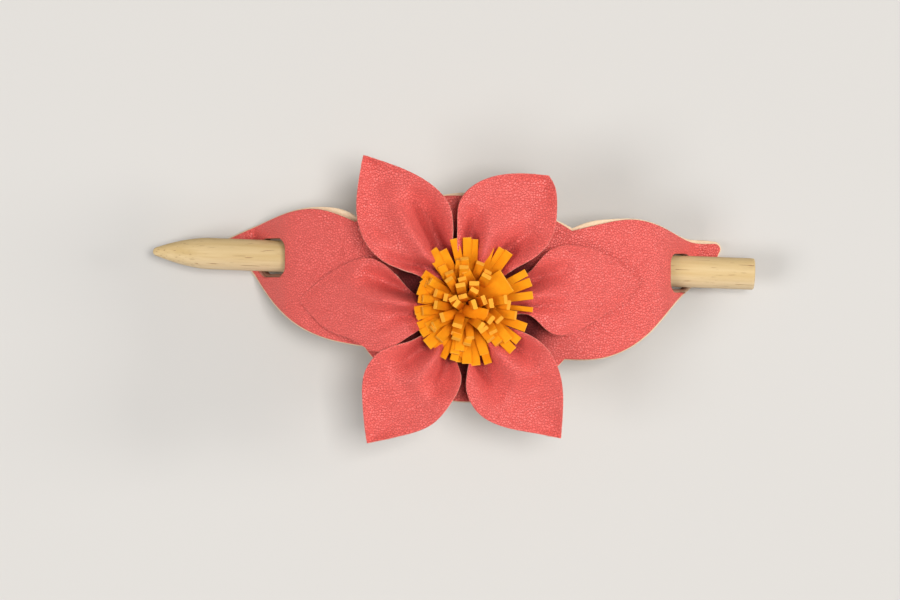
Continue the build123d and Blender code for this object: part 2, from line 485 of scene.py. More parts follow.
def coral_leather():
    """Dyed goat leather: rounded pebbles with fine cracks, paler raw edges and a fuzzy flesh side."""
    graph, shade = finish_named("coral_leather", {"Specular IOR Level": 0.5, "IOR": 1.45})
    place = graph.node("ShaderNodeTexCoord")["Object"]
    warp_inputs = {"Vector": place, "Scale": PEBBLE_WARP_SCALE, "Detail": 2.0}
    warp = graph.node("ShaderNodeTexNoise", {}, warp_inputs)["Color"]
    shift_inputs = {0: warp, 1: (PEBBLE_WARP, PEBBLE_WARP, PEBBLE_WARP), 2: place}
    shifted = graph.node("ShaderNodeVectorMath", {"operation": "MULTIPLY_ADD"}, shift_inputs)["Vector"]
    pebbles = {"Vector": shifted, "Scale": PEBBLE_SCALE, "Randomness": 1.0}
    pebble = graph.node("ShaderNodeTexVoronoi", {"feature": "F1"}, pebbles)["Distance"]
    crack = graph.node("ShaderNodeTexVoronoi", {"feature": "DISTANCE_TO_EDGE"}, pebbles)["Distance"]
    groove = graph.spread(crack, 0.0, 0.16)
    fine = graph.noise(place, 5200.0, 3.0)
    patch = graph.noise(place, 75.0, 3.0)
    broad = graph.noise(place, 260.0, 2.0)
    cut = graph.attribute("cut_edge")
    flesh = graph.attribute("flesh_side")
    # How much painted shade falls at each point.
    depth = graph.attribute("shade")

    dye_and_shade = graph.mix(patch, *CORAL_DYE)
    dye_and_shade = graph.mix(graph.spread(broad, 0.35, 0.75) * 0.15, dye_and_shade, CORAL_BLOTCH)
    dye_and_shade = graph.mix((1 - groove) * 0.3, dye_and_shade, CORAL_CREASE)
    # Painted shade: the shade attribute darkens the leather deep in folds and under the flower.
    dye_and_shade = graph.mix((depth * 0.92).clamp(), dye_and_shade, CORAL_PAINTED_SHADE)
    raw = graph.mix(graph.noise(place, 3000.0), *CORAL_RAW_EDGE)
    suede = graph.mix(graph.noise(place, 900.0), *CORAL_FLESH_SIDE)
    face = graph.mix(flesh, dye_and_shade, suede)
    face = graph.mix(graph.spread(cut, 0.15, 0.75), face, raw)
    rough = graph.spread(patch, 0.3, 0.7, 0.31, 0.41) + (1 - groove) * 0.2 + fine * 0.06
    rough = (rough + cut * 0.35 + flesh * 0.45 + depth * 0.5).clamp()
    height = groove * 0.6 + (1 - pebble) * 0.5 + fine * 0.12
    return shade(Base_Color=face, Roughness=rough, Normal=graph.bump(height, PEBBLE_RELIEF))


def natural_leather():
    """Undyed vegetable-tanned leather for the backing, a little fibrous."""
    graph, shade = finish_named("natural_leather", {"Specular IOR Level": 0.3})
    place = graph.node("ShaderNodeTexCoord")["Object"]
    fibre = graph.noise(place, FIBRE_SCALE, 4.0, 0.7)
    cloud = graph.noise(place, 160.0, 3.0)
    hide = graph.mix(cloud, *TAN)
    hide = graph.mix(graph.spread(fibre, 0.4, 0.75) * 0.5, hide, TAN_FIBRE)
    hide = graph.mix(graph.attribute("cut_edge") * 0.35, hide, TAN_CUT)
    # Painted shade: the backing darkens round the slots and under the flower, where it lies in shadow.
    hide = graph.mix(graph.attribute("shade") * 0.9, hide, TAN_PAINTED_SHADE)
    rough = graph.spread(fibre, 0.3, 0.7, 0.7, 0.92)
    return shade(Base_Color=hide, Roughness=rough, Normal=graph.bump(fibre, FIBRE_RELIEF))


def orange_suede():
    """Suede of the fringe: fuzzy all over, with painted shade at a finger's root, and paler at its cut tip."""
    graph, shade = finish_named("orange_suede", {"Specular IOR Level": 0.08})
    place = graph.node("ShaderNodeTexCoord")["Object"]
    nap = graph.noise(place, NAP_SCALE, 4.0, 0.7)
    cloud = graph.noise(place, 420.0, 2.0)
    tip = graph.attribute("tip")
    dye_and_shade = graph.mix(graph.spread(cloud, 0.3, 0.7), *ORANGE_DYE)
    dye_and_shade = graph.mix(graph.attribute("tone") * 0.6, dye_and_shade, ORANGE_PALER)
    dye_and_shade = graph.mix(graph.spread(nap, 0.45, 0.8) * 0.35, dye_and_shade, ORANGE_NAP)
    # Painted shade: darker towards a finger's root, where the roll shades it.
    dye_and_shade = graph.mix(graph.spread(tip, 0.2, 0.75, 0.5, 0.0), dye_and_shade, ORANGE_ROOT_SHADE)
    dye_and_shade = graph.mix(graph.spread(tip, 0.97, 1.0) * 0.55, dye_and_shade, ORANGE_TIP)
    rough = graph.spread(nap, 0.3, 0.7, 0.82, 0.98)
    return shade(Base_Color=dye_and_shade, Roughness=rough, Normal=graph.bump(nap, NAP_RELIEF))


def pale_wood():
    """Sanded hardwood dowel: faint bands and short dark pores along its length, with painted light on its
    front side.
    """
    graph, shade = finish_named("pale_wood", {"Specular IOR Level": 0.35})
    turn = (0.0, 0.0, float(np.arctan2(STICK_ALONG.y, STICK_ALONG.x)))
    place = graph.node("ShaderNodeTexCoord")["Object"]
    band = graph.noise(graph.stretch(place, BAND_CELL, turn), 1.6, 3.0)
    line = graph.noise(graph.stretch(place, LINE_CELL, turn), 1.3, 3.0, 0.6)
    pore = graph.noise(graph.stretch(place, PORE_CELL, turn), 1.0, 1.0, 0.4)
    dust = graph.noise(place, 3000.0, 3.0)
    side = graph.node("ShaderNodeSeparateXYZ", {}, {"Vector": graph.stretch(place, (1, 1, 1), turn)})["Y"]
    wood = graph.mix(graph.spread(band, 0.3, 0.7), *WOOD_BAND)
    # Painted light: the front side of the stick is made paler.
    wood = graph.mix(graph.spread(side, 0.0072, 0.0042) * 0.7, wood, WOOD_PAINTED_LIGHT)
    wood = graph.mix(graph.spread(line, 0.35, 0.75) * 0.35, wood, WOOD_LINE)
    wood = graph.mix(graph.spread(pore, 0.66, 0.73) * 0.75, wood, WOOD_PORE)
    wood = graph.mix(dust * 0.12, wood, WOOD_DUST)
    height = line * 0.4 - graph.spread(pore, 0.62, 0.78) * 0.8 + dust * 0.25
    rough = graph.spread(line, 0.3, 0.7, 0.55, 0.68)
    return shade(Base_Color=wood, Roughness=rough, Normal=graph.bump(height, WOOD_RELIEF))


def pale_floor():
    """Matt pale board under the barrette."""
    graph, shade = finish_named("pale_floor", {"Specular IOR Level": 0.15})
    place = graph.node("ShaderNodeTexCoord")["Object"]
    tone = graph.mix(graph.noise(place, 3.0, 2.0), *FLOOR_TONE)
    return shade(Base_Color=tone, Roughness=graph.noise(place, 40.0) * 0.1 + 0.82)


CORAL = coral_leather()
NATURAL = natural_leather()
SUEDE = orange_suede()
WOOD = pale_wood()


# -------------------- base

run_ends = np.cumsum([0.0] + [run for run, _ in ARCH_RUNS])
run_slopes = np.radians([0.0] + [slope for _, slope in ARCH_RUNS])
arch_steps = np.linspace(0, run_ends[-1], 6001)
arch_slopes = np.interp(arch_steps, run_ends, run_slopes)
arch_step = arch_steps[1]
arch_run = np.concatenate([[0], np.cumsum(np.cos((arch_slopes[1:] + arch_slopes[:-1]) / 2)) * arch_step])
arch_drop = np.concatenate([[0], np.cumsum(np.sin((arch_slopes[1:] + arch_slopes[:-1]) / 2)) * arch_step])
slope_start, slope_end = run_ends[3:5]
CREST_Z = PLATEAU_Z - BASE_THICKNESS
SLOT_MIDDLE = slope_end - SLOT_LENGTH / 2


def arch_place(along, across, height):
    """Points at a height above the arch's underside, and the arch's normals there."""
    side = np.sign(along)
    slope = np.interp(np.abs(along), arch_steps, arch_slopes)
    normals = np.column_stack([side * np.sin(slope), np.zeros_like(along), np.cos(slope)])
    run = np.interp(np.abs(along), arch_steps, arch_run)
    drop = np.interp(np.abs(along), arch_steps, arch_drop)
    points = np.column_stack([ARCH_CENTRE_X + side * run, across, CREST_Z - drop])
    return points + normals * np.asarray(height)[..., None], normals


def arch_along(x, height):
    """How far along the arch a plan position is, for a surface at that height above the underside."""
    run = arch_run + height * np.sin(arch_slopes)
    return np.sign(x - ARCH_CENTRE_X) * np.interp(np.abs(x - ARCH_CENTRE_X), run, arch_steps)


def stick_y(x):
    """Y of the stick's axis at a given X."""
    return STICK_CENTRE.y + x * STICK_ALONG.y / STICK_ALONG.x


def base_outline(rim, step):
    """Plan outline of a layer of the base, grown by a rim."""
    left_top = smooth_through(
        ((-19.5, 15.2 + rim), (-27.5, 17.8 + rim), (-37.0, 15.8 + rim), (-46.5 - rim, 11.6 + rim)), step
    )
    left_end = smooth_through(
        (
            (-46.5 - rim, 11.6 + rim),
            (-46.4 - rim, 9.4),
            (-42.9 - rim, 7.4 - rim),
            (-39.7 - rim, 3.9 - rim),
            (-34.6 - rim, -2.5 - rim),
            (-27.3, -7.2 - rim),
            (-17.8, -9.4 - rim),
        ),
        step,
    )
    lobe_bottom = arc_through((-17.8, -9.4 - rim), (1.7, -20.4 - rim), (22.0, -12.0 - rim), step)
    right_bottom = smooth_through(
        (
            (22.0, -12.0 - rim),
            (29.5, -11.8 - rim),
            (38.8 + rim, -7.0 - rim),
            (47.3 + rim, 1.7 - rim),
            (52.0 + rim, 5.6),
            (53.8 + rim, 9.2),
        ),
        step,
    )
    tip = arc_through((53.8 + rim, 9.2), (54.0 + rim, 10.4), (53.0 + rim, 11.1 + rim), step / 2)
    right_top = smooth_through(
        (
            (53.0 + rim, 11.1 + rim),
            (48.5, 11.3 + rim),
            (43.6, 13.4 + rim),
            (35.6, 15.7 + rim),
            (29.0, 14.7 + rim),
            (23.5, 13.4 + rim),
        ),
        step,
    )
    lobe_top = arc_through((23.5, 13.4 + rim), (1.7, 20.4 + rim), (-19.5, 15.2 + rim), step)
    return join_lines(left_top, left_end, lobe_bottom, right_bottom, tip, right_top, lobe_top)


# Where more of the backing shows: a place, how far it reaches, and how much further the backing goes there.
BACKING_SHOWS = (
    (-21.5, 16.5, 5.0, 1.1),
    (27.5, 14.5, 4.5, 0.8),
    (50.4, 12.0, 3.0, 0.6),
    (2.0, 20.5, 3.0, 0.4),
)


def spread_rim(outline):
    """Spread an outline over both shoulders, at the right tip and between the upper petals."""
    grown = np.zeros(len(outline))
    for x, y, reach, amount in BACKING_SHOWS:
        grown += amount * np.exp(-(((outline - (x, y)) ** 2).sum(axis=1)) / reach**2)
    ahead = np.roll(outline, -1, axis=0) - np.roll(outline, 1, axis=0)
    out = np.column_stack([ahead[:, 1], -ahead[:, 0]]) / np.linalg.norm(ahead, axis=1)[:, None]
    return outline + out * grown[:, None]


def slot_outline(side, width, shift, corner):
    """Outline of a slot, along and across the sloping leather. Its lower end is round."""
    middle = side * SLOT_MIDDLE
    plan_x = arch_place(np.array([middle]), np.zeros(1), BASE_THICKNESS / 2)[0][0, 0]
    y = stick_y(plan_x) + shift
    corners = []
    for quarter, (a, b) in enumerate(((1, 1), (-1, 1), (-1, -1), (1, -1))):
        radius = width / 2 - 0.01 if a == side else corner
        reach = SLOT_LENGTH / 2 + (0 if a == side else SLOT_UPPER_REACH[side])
        centre = middle + a * (reach - radius), y + b * (width / 2 - radius)
        for turn in np.linspace(0, pi / 2, round(pi * radius / 2 / SLOT_STEP) + 1) + quarter * pi / 2:
            corners.append((centre[0] + radius * cos(turn), centre[1] + radius * sin(turn)))
    corners = np.array(corners)
    apart = np.linalg.norm(np.roll(corners, -1, axis=0) - corners, axis=1) > SLOT_STEP / 2
    corners = corners[apart]
    filled = []
    for start, end in zip(corners, np.roll(corners, -1, axis=0)):
        pieces = max(1, round(np.linalg.norm(end - start) / SLOT_STEP))
        filled += [start + (end - start) * share for share in np.linspace(0, 1, pieces, endpoint=False)]
    return np.array(filled)


def base_layer(name, plan, slot, low, thickness, material, shape, slot_shade):
    """One layer of the base, from a height above the arch's underside up by its thickness.

    It gets painted shade under the flower, and painted shade round its slots by the given amount of slot
    shade.
    """
    height = low + thickness
    outline = np.column_stack([arch_along(plan[:, 0], height), plan[:, 1]])
    holes = [slot_outline(side, *slot) for side in (-1, 1)]
    places, faces = fill_outline(outline, holes, BASE_STEP)
    points, _ = arch_place(places[:, 0], places[:, 1], height + shape(places[:, 0], places[:, 1]))
    # Painted shade: darker under the flower and round the slots, where shade falls.
    from_flower = np.linalg.norm(points[:, :2] - FLOWER, axis=1)
    shade = np.clip((FLOWER_SHADE_REACH - from_flower) / FLOWER_SHADE_FADE, 0, 1) ** 1.3
    for hole in holes:
        from_hole, _ = line_distance(places, np.vstack([hole, hole[:1]]))
        shade = np.maximum(shade, np.clip(1.3 - from_hole / SLOT_SHADE_WIDTH, 0, 1) * slot_shade)
    return leather_piece(name, points, faces, thickness, material, shade)


def bowed(along, across):
    """How far the leather of the base stands off its true arch between the slopes."""
    ripple = np.array([noise.noise(Vector((a * 0.09, c * 0.12, 4.0))) for a, c in zip(along, across)])
    return BOW * ripple * np.clip((slope_start - np.abs(along)) / 8, 0, 1)


def bowed_leather(along, across):
    """The coral layer: as the backing, with creases across the right shoulder."""
    crease = np.array([noise.noise(Vector((a * 0.10, c * 0.75, 9.0))) for a, c in zip(along, across)])
    shoulder = np.exp(-(((along - 26) / 9) ** 2) - ((across - 9) / 6) ** 2)
    return bowed(along, across) + SHOULDER_CREASE * crease * shoulder


BASE_STEP = 0.8
BACKING_RIM = 0.2
BOW = 0.25
SHOULDER_CREASE = 0.16
FLOWER_SHADE_REACH = 20.0
FLOWER_SHADE_FADE = 5.5
# How far the painted shade round the slots reaches.
SLOT_SHADE_WIDTH = 1.2

backing_plan = spread_rim(base_outline(BACKING_RIM, BASE_STEP))
base_backing = base_layer(
    "backing", backing_plan, BACKING_SLOT, 0.0, BACKING_THICKNESS, NATURAL, bowed, slot_shade=1.0
)
leather_plan = base_outline(0.0, BASE_STEP)
base_leather = base_layer(
    "wings",
    leather_plan,
    LEATHER_SLOT,
    BACKING_THICKNESS,
    LEATHER_THICKNESS,
    CORAL,
    bowed_leather,
    slot_shade=0.0,
)


# -------------------- petals

# Each petal: its tip, its two edges from the root outwards, how high it stands above what is below it, how far
# its edges stand up, how far they roll over, and its folds. The lifts and cups are those at the places below,
# from 0 at the flower's middle to 1 at the tip. A fold is a line from the root outwards, with its height (or
# depth, if negative) and half-width at the root, and its half-width where it dies away.
LIFT_AT = (0.12, 0.36, 0.55, 0.8, 1.0)
CUP_AT = (0.2, 0.36, 0.6, 0.9)
PETALS = {
    "petal_right": {
        "tip": (38.0, 3.2),
        "first_edge": (
            (6.5, -4.6), (10.5, -3.6), (14.9, -3.2), (19.9, -7.1), (23.8, -7.1), (30.3, -3.4), (35.2, -0.2)
        ),
        "second_edge": (
            (5.6, 1.6), (10.0, 3.2), (14.8, 4.9), (19.2, 9.6), (23.8, 10.8), (29.2, 9.6), (34.2, 6.7)
        ),
        "lifts": (0.3, 4.0, 3.2, 1.0, 0.2),
        "cups": (0.0, 1.2, 0.4, 0.0),
        "roll": 0.1,
        "folds": (
            (((9.5, 1.6), (16.5, 3.9), (24.5, 6.4)), -6.0, 1.1, 2.8),
            (((9.5, -2.4), (15.0, -1.6), (25.0, -1.4)), -2.4, 0.7, 1.4),
            (((9.0, -0.4), (15.5, 0.8), (24.0, 1.6)), 1.2, 1.2, 3.0),
        ),
    },
    "petal_upper_right": {
        "tip": (19.2, 24.7),
        "first_edge": ((6.0, 0.4), (11.8, 5.7), (16.5, 8.4), (19.8, 12.5), (20.8, 18.6), (20.2, 22.9)),
        "second_edge": ((2.2, 3.0), (0.9, 9.5), (0.8, 15.0), (1.3, 19.6), (4.0, 22.7), (10.0, 24.9)),
        "lifts": (0.6, 4.6, 4.6, 3.2, 2.8),
        "cups": (0.0, 2.0, 2.4, 1.8),
        "roll": 0.0,
        "folds": (
            (((3.2, 6.5), (3.6, 12.0), (4.2, 19.0)), -5.4, 1.0, 2.0),
            (((6.8, 5.2), (10.9, 9.4), (17.0, 14.6)), -5.6, 1.2, 2.6),
            (((5.0, 5.5), (7.0, 12.4), (8.4, 20.6)), 3.0, 1.3, 2.8),
        ),
    },
    "petal_upper_left": {
        "tip": (-18.1, 28.8),
        "first_edge": ((1.6, 2.6), (-0.2, 9.0), (-0.1, 14.5), (-0.7, 18.3), (-4.0, 22.5), (-10.3, 26.1)),
        "second_edge": (
            (-1.8, 0.8), (-7.0, 4.6), (-13.9, 7.4), (-17.5, 11.0), (-19.3, 16.0), (-19.0, 23.8)
        ),
        "lifts": (0.6, 4.8, 4.8, 3.4, 3.0),
        "cups": (0.0, 2.2, 2.6, 2.0),
        "roll": 0.0,
        "folds": (
            (((-0.4, 5.4), (-1.9, 8.6), (-3.3, 11.9), (-4.7, 15.5), (-8.8, 22.6)), -7.0, 1.0, 3.0),
            (((-2.6, 5.4), (-5.9, 6.5), (-11.0, 7.3), (-15.6, 9.8)), -4.2, 0.8, 1.2),
            (((-2.4, 5.2), (-6.3, 10.0), (-9.3, 14.6), (-13.8, 23.9)), 3.4, 1.4, 3.0),
        ),
    },
    "petal_left": {
        "tip": (-31.4, -0.3),
        "first_edge": ((-1.4, 1.4), (-6.9, 0.6), (-11.4, 4.5), (-17.3, 8.2), (-22.2, 6.8), (-28.2, 2.8)),
        "second_edge": (
            (-1.4, -3.6), (-8.9, -7.6), (-16.4, -10.6), (-19.7, -8.7), (-24.6, -6.8), (-28.6, -3.7)
        ),
        "lifts": (0.3, 5.0, 4.0, 1.5, 0.3),
        "cups": (0.0, 1.6, 0.8, 0.0),
        "roll": 0.1,
        "folds": (
            (((-4.0, -0.6), (-7.9, 0.8), (-12.4, 2.9), (-19.5, 5.8)), -7.4, 1.0, 2.2),
            (((-4.0, -2.3), (-8.2, -2.9), (-14.6, -2.6)), -2.4, 0.9, 1.4),
            (((-4.0, -1.2), (-8.0, -0.9), (-13.6, -0.4), (-18.9, 1.2), (-23.4, 4.8)), 2.8, 1.1, 2.2),
        ),
    },
    "petal_lower_left": {
        "tip": (-17.4, -29.1),
        "first_edge": (
            (-1.4, -3.4), (-8.2, -8.4), (-14.6, -10.6), (-17.9, -15.0), (-18.3, -20.4), (-17.8, -26.3)
        ),
        "second_edge": (
            (1.8, -5.0), (0.2, -11.2), (1.5, -15.6), (-0.6, -21.1), (-4.4, -25.3), (-10.2, -27.5)
        ),
        "lifts": (0.6, 4.6, 4.4, 3.0, 2.6),
        "cups": (0.0, 2.0, 2.4, 1.8),
        "roll": 0.0,
        "folds": (
            (((-2.4, -6.8), (-7.6, -10.9), (-13.6, -14.2)), -5.2, 1.0, 2.2),
            (((0.2, -7.6), (-1.4, -13.8), (-3.4, -20.4)), -5.4, 1.0, 2.6),
            (((-1.2, -7.4), (-4.7, -13.4), (-9.8, -18.6)), 3.2, 1.3, 2.8),
        ),
    },
    "petal_lower_right": {
        "tip": (21.6, -28.1),
        "first_edge": ((3.0, -5.2), (3.4, -11.5), (2.5, -17.5), (4.9, -22.9), (10.2, -25.8), (16.6, -27.1)),
        "second_edge": (
            (6.2, -3.6), (11.5, -5.9), (16.7, -8.2), (21.0, -14.0), (22.0, -19.8), (21.8, -25.0)
        ),
        "lifts": (0.6, 4.6, 4.4, 3.0, 2.6),
        "cups": (0.0, 2.0, 2.4, 1.8),
        "roll": 0.0,
        "folds": (
            (((4.4, -7.6), (6.0, -13.6), (10.0, -20.6)), -5.6, 1.0, 2.6),
            (((6.6, -5.8), (12.5, -9.4), (18.0, -13.0)), -5.0, 1.0, 2.2),
            (((5.6, -7.0), (10.2, -12.0), (15.4, -18.4)), 3.2, 1.3, 2.8),
        ),
    },
}
LYING_ON_A_WING = ("petal_left", "petal_right")

# Where a petal is wrinkled: the middle of the place, how far it reaches, which way its lines run in degrees,
# and their height.
WRINKLES = {
    "petal_upper_left": (((-13.5, 11.8), 4.5, -42, 0.5),),
    "petal_lower_left": (((-10.5, -19.0), 6.0, 12, 0.5), ((-7.0, -12.0), 3.0, 48, 0.4)),
    "petal_lower_right": (((6.0, -17.0), 4.0, 80, 0.4), ((15.0, -18.0), 5.0, 20, 0.4)),
    "petal_upper_right": (((13.0, 11.5), 4.0, 35, 0.5), ((4.0, 16.0), 4.0, 75, 0.3)),
    "petal_left": (((-11.5, -6.0), 4.5, 35, 0.45),),
    "petal_right": (((15.0, -4.0), 4.5, -20, 0.45), ((19.0, 7.5), 4.0, 30, 0.3)),
}


def from_pattern(points):
    """Bring plan points from the pattern to the petal's own size."""
    return PATTERN_MIDDLE + (np.asarray(points, float) - PATTERN_MIDDLE) * PATTERN_SCALE


def wrinkled(plan, name):
    """Fine parallel wrinkles where a petal's leather is pushed together."""
    height = np.zeros(len(plan))
    for (x, y), reach, heading, rise in WRINKLES.get(name, ()):
        turn = radians(heading)
        along = plan @ (cos(turn), sin(turn))
        across = plan @ (-sin(turn), cos(turn))
        ripple = np.array([noise.noise(Vector((a * 0.16, c * 0.85, reach))) for a, c in zip(along, across)])
        height += rise * ripple * np.exp(-(((plan - (x, y)) ** 2).sum(axis=1)) / reach**2)
    return height


def petal_heights(name, shape, plan, first_line, second_line):
    """Height of a petal's grain side above the floor at plan positions, and how much painted fold shade they
    get.
    """
    tip = from_pattern(shape["tip"])
    out = np.linalg.norm(plan - FLOWER, axis=1) / np.linalg.norm(tip - FLOWER)
    first, _ = line_distance(plan, first_line)
    second, _ = line_distance(plan, second_line)
    side = (first - second) / (first + second + 1e-6)
    height = np.interp(out, LIFT_AT, shape["lifts"])
    height += np.interp(out, CUP_AT, shape["cups"]) * side**2
    height -= shape["roll"] * np.exp(-np.minimum(first, second) / 0.9) * np.clip((out - 0.35) / 0.2, 0, 1)
    shade = np.zeros(len(plan))
    for line, rise, near_width, far_width in shape["folds"]:
        distance, along = line_distance(plan, from_pattern(smooth_through(line, 0.5)))
        width = near_width + (far_width - near_width) * along
        fade = (1 - along**1.7) * np.clip(out / 0.3, 0, 1)
        height += rise * fade * np.exp(-((distance / width) ** 2))
        # Painted shade along each sunken fold, darkest at its root.
        if rise < 0:
            dark = FOLD_DARKNESS * (1 - along) ** 2.1 * np.exp(-((distance / (0.55 * width)) ** 2))
            shade = np.maximum(shade, dark)
    seed = sum(map(ord, name)) % 50
    crumple = np.array([noise.noise(Vector((x * 0.35, y * 0.35, seed))) for x, y in plan])
    fine = np.array([noise.noise(Vector((x * 0.9, y * 0.9, seed + 7))) for x, y in plan])
    height += CRUMPLE * crumple + FINE_CRUMPLE * fine + wrinkled(plan, name)
    height = np.maximum(height, LEAST_GAP)
    if name in LYING_ON_A_WING:
        along = arch_along(plan[:, 0], BASE_THICKNESS)
        return height + arch_place(along, plan[:, 1], BASE_THICKNESS)[0][:, 2], shade
    return height + PLATEAU_Z, shade


def soften(points, faces, rounds):
    """Even out the heights of a sheet a little, so that no fold is a sharp line."""
    edges = np.vstack([faces[:, [0, 1]], faces[:, [1, 2]], faces[:, [2, 0]]])
    for _ in range(rounds):
        total = np.zeros(len(points))
        weight = np.zeros(len(points))
        for a, b in ((0, 1), (1, 0)):
            np.add.at(total, edges[:, a], points[edges[:, b], 2])
            np.add.at(weight, edges[:, a], 1)
        points[:, 2] += 0.5 * (total / weight - points[:, 2])
    return points


def pared(plan, first_line, second_line):
    """Thickness of a petal's leather, which is pared thinner towards its edges."""
    first, _ = line_distance(plan, first_line)
    second, _ = line_distance(plan, second_line)
    return PETAL_THICKNESS * np.clip(0.5 + np.minimum(first, second) / 4, 0, 1)


def make_petal(name, shape):
    """One petal of coral leather, pinched into folds at its root."""
    first = from_pattern(smooth_through((*shape["first_edge"], shape["tip"]), PETAL_STEP))
    second = from_pattern(smooth_through((*shape["second_edge"], shape["tip"]), PETAL_STEP))
    middle = (first[0] + second[0]) / 2
    inward = middle - from_pattern(shape["tip"])
    deepest = middle + ROOT_BULGE * inward / np.linalg.norm(inward)
    root = arc_through(second[0], deepest, first[0], 0.6)
    outline = join_lines(first, second[::-1], root)
    plan, faces = fill_outline(outline, [], PETAL_STEP)
    thickness = pared(plan, first, second)
    height, shade = petal_heights(name, shape, plan, first, second)
    points = soften(np.column_stack([plan, height + thickness]), faces, 3)
    return leather_piece(f"{name}_leather", points, faces, thickness, CORAL, shade)


petals = {name: make_petal(name, shape) for name, shape in PETALS.items()}


# -------------------- fringe

BAND_THICKNESS = 0.9
BAND_HEIGHT = 3.4
BAND_START = 0.8
BAND_PITCH = 1.0
BAND_TURN = 2.2
FINGER_WIDTH = 1.75
FINGER_GAP = 0.05
FINGER_LENGTH = 6.2
INNER_COUNT = 66
ROLL_MIDDLE = np.array([3.3, -1.3])
ROLL_HEART = np.array([1.9, -2.3])
OUTER_RADIUS = 6.6

# How far the inner fingers lean out, in degrees: at the heart, and how much more at the rim. They all fall a
# little towards one side.
HEART_LEAN = 12
RIM_LEAN = 60
FALL = 0.45
FALL_TOWARDS = radians(235)

# The loose end of the strip is one wide uncut flap, and so is its start in the middle of the roll.
LOOSE_FLAP = radians(33)
HEART_FLAP = radians(-12)

# The outermost fingers lean from the first angle at their roots to the second at their tips, which droop.
OUTER_LEANS = (radians(58), radians(93))

# Where the outermost fingers end, and how wide each is.
OUTER_TIPS = (
    (0.1, 11.6, 1.7),
    (2.3, 11.9, 1.7),
    (4.1, 11.5, 1.8),
    (7.7, 10.1, 1.8),
    (9.4, 9.7, 1.6),
    (10.8, 9.1, 1.8),
    (14.0, 5.3, 1.5),
    (15.0, 3.1, 1.8),
    (15.4, 1.0, 1.6),
    (15.5, -1.9, 1.0),
    (14.2, -6.1, 1.8),
    (12.9, -8.2, 1.7),
    (11.4, -10.5, 1.9),
    (9.0, -11.9, 1.8),
    (6.7, -12.7, 1.6),
    (4.2, -13.0, 1.9),
    (2.1, -12.8, 1.9),
    (0.0, -12.3, 1.6),
    (-2.0, -11.7, 1.4),
    (-5.0, -9.3, 2.4),
    (-6.3, -6.9, 1.8),
    (-6.9, -5.0, 1.5),
    (-7.6, -2.2, 1.8),
    (-7.0, -0.2, 1.7),
    (-7.0, 1.9, 2.6),
    (-5.9, 4.7, 1.8),
    (-4.3, 9.3, 2.6),
    (-2.2, 9.6, 1.6),
)


def finger_roots():
    """One vertex for each finger of the fringe, with what its strip needs to know."""
    numbers = np.arange(INNER_COUNT)
    radius = np.sqrt(BAND_START**2 + numbers * (FINGER_WIDTH + FINGER_GAP) * BAND_PITCH / pi)
    angle = 2 * pi * (radius - BAND_START) / BAND_PITCH + BAND_TURN
    share = (radius - BAND_START) / (radius[-1] - BAND_START)
    lean = HEART_LEAN + RIM_LEAN * share**1.3 + rng.normal(0, 7, INNER_COUNT)
    lean = np.radians(lean * (1 + FALL * np.cos(angle - FALL_TOWARDS)))
    middle = ROLL_HEART + share[:, None] * (ROLL_MIDDLE - ROLL_HEART)
    under_loose_flap = (np.cos(angle - LOOSE_FLAP) > cos(radians(18))) & (radius > 3.2)
    under_heart_flap = (np.cos(angle - HEART_FLAP) > cos(radians(38))) & (radius < 2.9)
    clear = ~(under_loose_flap | under_heart_flap)
    inner = {
        "x": middle[:, 0] + radius * np.cos(angle),
        "y": middle[:, 1] + radius * np.sin(angle),
        "angle": angle + rng.normal(0, 0.3, INNER_COUNT),
        "width": FINGER_WIDTH * rng.uniform(0.85, 1.12, INNER_COUNT),
        "length": FINGER_LENGTH - 1.2 * share + rng.normal(0, 0.45, INNER_COUNT),
        "lean_start": lean * 0.6,
        "lean_end": lean * 1.15 + 0.02,
        "tone": rng.uniform(0, 1, INNER_COUNT),
    }
    inner = {name: values[clear] for name, values in inner.items()}

    tips = np.array(OUTER_TIPS)
    toward = tips[:, :2] - ROLL_MIDDLE
    reach = np.linalg.norm(toward, axis=1)
    toward /= reach[:, None]
    roots_at = ROLL_MIDDLE + OUTER_RADIUS * toward
    count = len(tips)
    outer = {
        "x": roots_at[:, 0],
        "y": roots_at[:, 1],
        "angle": np.arctan2(toward[:, 1], toward[:, 0]) + rng.normal(0, 0.05, count),
        "width": tips[:, 2],
        "length": (reach - OUTER_RADIUS) * 1.06,
        "lean_start": OUTER_LEANS[0] + rng.normal(0, 0.07, count),
        "lean_end": OUTER_LEANS[1] + rng.normal(0, 0.07, count),
        "tone": rng.uniform(0, 1, count),
    }
    flaps = {
        "x": [5.6, 1.9],
        "y": [0.4, -2.3],
        "angle": [LOOSE_FLAP, HEART_FLAP],
        "width": [5.0, 2.4],
        "length": [6.7, 6.4],
        "lean_start": [radians(40), radians(22)],
        "lean_end": [radians(84), radians(84)],
        "tone": [0.5, 0.0],
    }
    values = {name: np.concatenate([inner[name], outer[name], flaps[name]]) for name in inner}
    count = len(values["x"])
    mesh = bpy.data.meshes.new("fringe_roots")
    mesh.from_pydata([(0, 0, 0)] * count, [], [])
    roots = bpy.data.objects.new("fringe_roots", mesh)
    bpy.context.scene.collection.objects.link(roots)
    for name, numbers in values.items():
        add_value(roots, name, numbers)
    return roots


